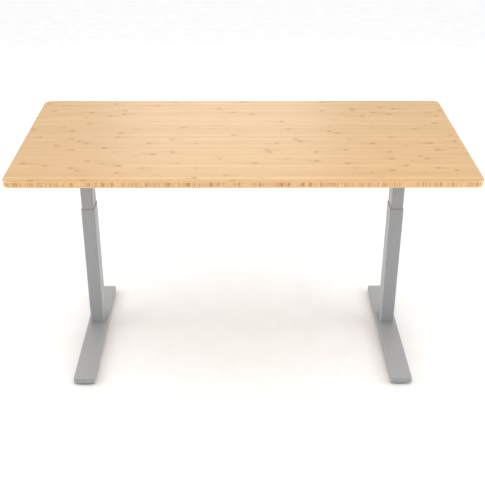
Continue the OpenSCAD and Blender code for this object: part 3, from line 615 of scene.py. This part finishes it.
def make_motor(side):
    """A drawn can with rolled seams and two tie bolts, a moulded end cap, and the gland of its lead."""
    node = "motor_" + side
    low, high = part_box(node)
    middle, out = (low + high) / 2, 1 if side == "left" else -1
    start = Vector((low.x if out > 0 else high.x, middle.y, middle.z))
    length = high.x - low.x
    where = axis_at(start, (out, 0, 0))
    can = [(0, 4.4), (0, 11.4), (0.6, 12), (4, 12), (4, 24), (5, 25), (11, 25), (11.6, 24.3), (13, 24.3),
           (13.6, 24.7), (88, 24.7), (88.6, 25), (91, 25), (91.6, 24.4), (93, 24.4), (93.6, 24.8),
           (102.4, 24.8), (103.4, 24.4), (104, 23.6), (104, 20.6), (103.4, 20.2), (103.4, 4)]
    bm = bmesh.new()
    turned(bm, where, [(a * MM, r * MM) for a, r in can], sides=72)
    bolt_circle = 22.3 * MM
    for angle in (math.radians(40), math.radians(220)):
        spot = where @ Vector((bolt_circle * math.cos(angle), bolt_circle * math.sin(angle), 103.8 * MM))
        screw_head(bm, spot, (out, 0, 0), 1.9 * MM, 1.8 * MM)
    body = new_piece(node + "_shown", bm, 35)
    even_shading(body)
    finish_piece(body, "top", "motor_can", materials["motor_can"], node)
    end = length / MM
    cap = [(103.4, 19.8), (105.6, 19.8), (106, 19.4), (106, 18.2), (110.4, 17.6), (111.4, 16.4),
           (111.6, 14.4), (111.6, 8), (110.6, 7.4), (110.6, 5.6), (112, 5.2), (end + 2.6, 4.4), (end + 3, 3.9)]
    bm = bmesh.new()
    turned(bm, where, [(a * MM, r * MM) for a, r in cap], sides=72)
    for k in range(12):
        angle = math.radians(30 * k)
        spot = where @ Matrix.Rotation(angle, 4, "Z") @ Matrix.Translation((12.2 * MM, 0, 111.2 * MM))
        turned(bm, spot, [(0, 1.1 * MM), (0.7 * MM, 1.1 * MM), (0.9 * MM, 0.8 * MM)], sides=12)
    moulded = new_piece(node + "_cap", bm, 35)
    finish_piece(moulded, "top", "black_plastic", materials["black_plastic"])


def make_button(node, up):
    """A dished round button with a raised arrow."""
    low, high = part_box(node)
    middle = (low + high) / 2
    where = axis_at((middle.x, high.y, middle.z), (0, -1, 0))
    depth = high.y - low.y
    bm = bmesh.new()
    turned(bm, where, [(0, 7 * MM), (depth - 5.5 * MM, 7 * MM), (depth - 5.3 * MM, 6 * MM),
                       (depth - 0.8 * MM, 6 * MM), (depth - 0.25 * MM, 5.8 * MM), (depth, 5.2 * MM),
                       (depth - 0.15 * MM, 4.8 * MM), (depth - 0.5 * MM, 3.6 * MM),
                       (depth - 0.6 * MM, 1.5 * MM)])
    tip = 2.1 * MM if up else -2.1 * MM
    corners = [(-2.3 * MM, -0.8 * tip), (2.3 * MM, -0.8 * tip), (0, tip)]
    back, front = low.y + 0.8 * MM, low.y + 0.05 * MM
    add_loft(bm, [[(middle.x + x * k, y, middle.z + z * k) for x, z in corners]
                  for y, k in ((back, 1), (front + 0.15 * MM, 1), (front, 0.85))])
    button = new_piece(node + "_shown", bm, 35)
    finish_piece(button, body_of(node), "button_plastic", materials["button_plastic"], node)


def make_box_details():
    """Cooling ribs on the control box, screws in its lid and ears, and a sleeve where each lead goes in."""
    low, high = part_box("control_box")
    lid_low, lid_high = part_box("control_lid")
    ear, port_rise, half_port = 15 * MM, 18 * MM, (5.4 * MM, 3.6 * MM)
    bm = bmesh.new()
    for x in range(-90, 31, 8):
        add_block(bm, (x * MM, low.y - 0.7 * MM, low.z + 8 * MM),
                  ((x + 3) * MM, low.y + 0.6 * MM, high.z - 9 * MM), 0.6 * MM)
    port_z = low.z + port_rise
    for x, y in ((low.x + ear, motor_lead_y), (high.x - ear, motor_lead_y), (high.x - ear, handset_port_y)):
        out = 3 * MM if x > 0 else -3 * MM
        ends = sorted((x - out / 6, x + out))
        add_block(bm, (ends[0], y - half_port[0], port_z - half_port[1]),
                  (ends[1], y + half_port[0], port_z + half_port[1]), 1.2 * MM)
    ribs = new_piece("control_box_ribs", bm, 35)
    finish_piece(ribs, "top", "black_plastic", materials["black_plastic"])
    bm = bmesh.new()
    for x in (lid_low.x + 8 * MM, lid_high.x - 8 * MM):
        for y in (lid_low.y + 8 * MM, lid_high.y - 8 * MM):
            screw_head(bm, (x, y, lid_low.z + 0.1 * MM), (0, 0, -1), 3 * MM, 1.8 * MM)
    for x in (low.x + 7.5 * MM, high.x - 7.5 * MM):
        screw_head(bm, (x, (low.y + high.y) / 2, high.z - 2.9 * MM), (0, 0, -1), 3.6 * MM, 2.2 * MM)
    screws = new_piece("control_box_screws", bm, 35)
    finish_piece(screws, "top", "zinc_steel", materials["zinc_steel"])


def make_clip(name, point, radius, along_x):
    """A saddle clip over a lead that touches the underside of the desktop at point, with its screw."""
    under, wall, half_width = desktop_low.z, 1.2 * MM, 5 * MM
    centre = point[2]
    inner, outer = radius + 0.2 * MM, radius + 0.2 * MM + wall
    arch = [math.radians(180 * i / 12) for i in range(13)]
    section = [(-outer - 9 * MM, under), (-outer - 9 * MM, under - wall), (-outer, under - wall)]
    section += [(-outer * math.cos(t), centre - outer * math.sin(t)) for t in arch]
    lip = outer + 3 * MM
    section += [(outer, under - wall), (lip, under - wall), (lip, under), (inner, under)]
    section += [(inner * math.cos(t), centre - inner * math.sin(t)) for t in arch]
    section += [(-inner, under)]
    bm = bmesh.new()
    add_loft(bm, [[(point[0] + along, point[1] + s, z) if along_x else (point[0] + s, point[1] + along, z)
                   for s, z in section] for along in (-half_width, half_width)])
    clip = new_piece(name, bm, 35)
    finish_piece(clip, "top", "black_plastic", materials["black_plastic"])
    bm = bmesh.new()
    aside = outer + 5 * MM
    spot = (point[0] - (0 if along_x else aside), point[1] - (aside if along_x else 0), under - wall)
    screw_head(bm, spot, (0, 0, -1), 3 * MM, 1.8 * MM)
    screw = new_piece(name + "_screw", bm, 35)
    finish_piece(screw, "top", "zinc_steel", materials["zinc_steel"])


FRAME_STEEL = (0.348, 0.355, 0.365)

materials = {
    "frame_steel": plain_material("powder_coat", FRAME_STEEL, 0.38, bump=0.22, grain=1400, spread=0.03),
    "light_plastic": plain_material("light_plastic", (0.362, 0.368, 0.376), 0.42, bump=0.1, grain=700),
    "slider_plastic": plain_material("slider_plastic", (0.80, 0.78, 0.70), 0.45),
    "black_plastic": plain_material("black_plastic", (0.022, 0.022, 0.024), 0.5, bump=0.35, grain=1100),
    "rubber": plain_material("rubber", (0.018, 0.018, 0.018), 0.75, bump=0.2),
    "zinc_steel": brushed_material("zinc_steel", (0.66, 0.67, 0.69), 0.34, (1.0, 1.0, 9.0)),
    "bearing_steel": brushed_material("bearing_steel", (0.78, 0.78, 0.80), 0.2, (9.0, 1.0, 1.0)),
    "bronze": brushed_material("bronze", (0.74, 0.50, 0.22), 0.32, (1.0, 1.0, 9.0)),
    "die_cast": plain_material("die_cast", (0.50, 0.51, 0.52), 0.5, metallic=0.9, bump=0.4, grain=500),
    "motor_can": plain_material("motor_can", (0.06, 0.062, 0.066), 0.38, bump=0.12, grain=1200, coat=0.1),
    "button_plastic": plain_material("button_plastic", (0.66, 0.66, 0.65), 0.42),
    "board_green": plain_material("board_green", (0.02, 0.12, 0.05), 0.35, coat=0.3),
    "lead_rubber": plain_material("lead_rubber", (0.02, 0.02, 0.02), 0.55, bump=0.15, grain=500),
}


# How far the sharp edges of each node that is kept as it is are rounded, in mm
SOFT_EDGES = {
    "base_plates": 0.5, "outer_tube_left": 0.25, "outer_tube_right": 0.25, "middle_tube_left": 0.25,
    "middle_tube_right": 0.25, "inner_tube_left": 0.25, "inner_tube_right": 0.25, "head_brackets": 0.6,
    "gearbox_housings": 0.8, "gearbox_covers": 0.6, "side_bracket_left": 0.6, "side_bracket_right": 0.6,
    "rails_left": 0.5, "rails_right": 0.5, "rail_sleeves": 0.5, "control_box": 0.8, "control_lid": 0.4,
    "control_board": 0.3, "mains_inlet": 0.4, "handset_housing": 0.8, "handset_face": 0.5,
    "bracket_pads": 0.3, "motor_leads": 0, "handset_lead": 0,
}


def dress_cad_nodes():
    """Every CAD node takes the material of its slot in the record."""
    for entry in frame["record"]["subparts"]:
        shown = frame["nodes"][entry["node"]]
        shown.data.materials.clear()
        shown.data.materials.append(materials[entry["material_slot"]])


add_camera()
add_studio()
add_floor()
desktop_low, desktop_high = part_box("desktop")
motor_lead_r, handset_lead_r = 3 * MM, 2 * MM
motor_leads_low, motor_leads_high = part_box("motor_leads")
motor_lead_y = (motor_leads_low.y + motor_leads_high.y) / 2
handset_lead_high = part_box("handset_lead")[1]
handset_lead_x = handset_lead_high.x - handset_lead_r
handset_port_y = handset_lead_high.y - handset_lead_r
materials["bamboo"] = bamboo_material(desktop_low.z, desktop_high.z)
dress_cad_nodes()
make_desktop()
for side in ("left", "right"):
    make_foot(side)
    make_motor(side)
make_collars("lower_collars")
make_collars("upper_collars")
make_welds()
for node in sorted(frame["nodes"]):
    if node.startswith("glide_") and node != "glide_nuts":
        make_glide(node)
make_button("button_up", True)
make_button("button_down", False)
make_box_details()
motor_lead_z = desktop_low.z - motor_lead_r - 1 * MM
handset_lead_z = desktop_low.z - handset_lead_r - 0.5 * MM
for i, x in enumerate((-340, -240, 240, 340)):
    make_clip(f"motor_lead_clip_{i}", (x * MM, motor_lead_y, motor_lead_z), motor_lead_r, True)
for i, y in enumerate((-180, -60)):
    make_clip(f"handset_lead_clip_{i}", (handset_lead_x, y * MM, handset_lead_z), handset_lead_r, False)
make_clip("handset_lead_clip_2", (300 * MM, handset_port_y, handset_lead_z), handset_lead_r, True)
for node, width in SOFT_EDGES.items():
    softened(node, width * MM)
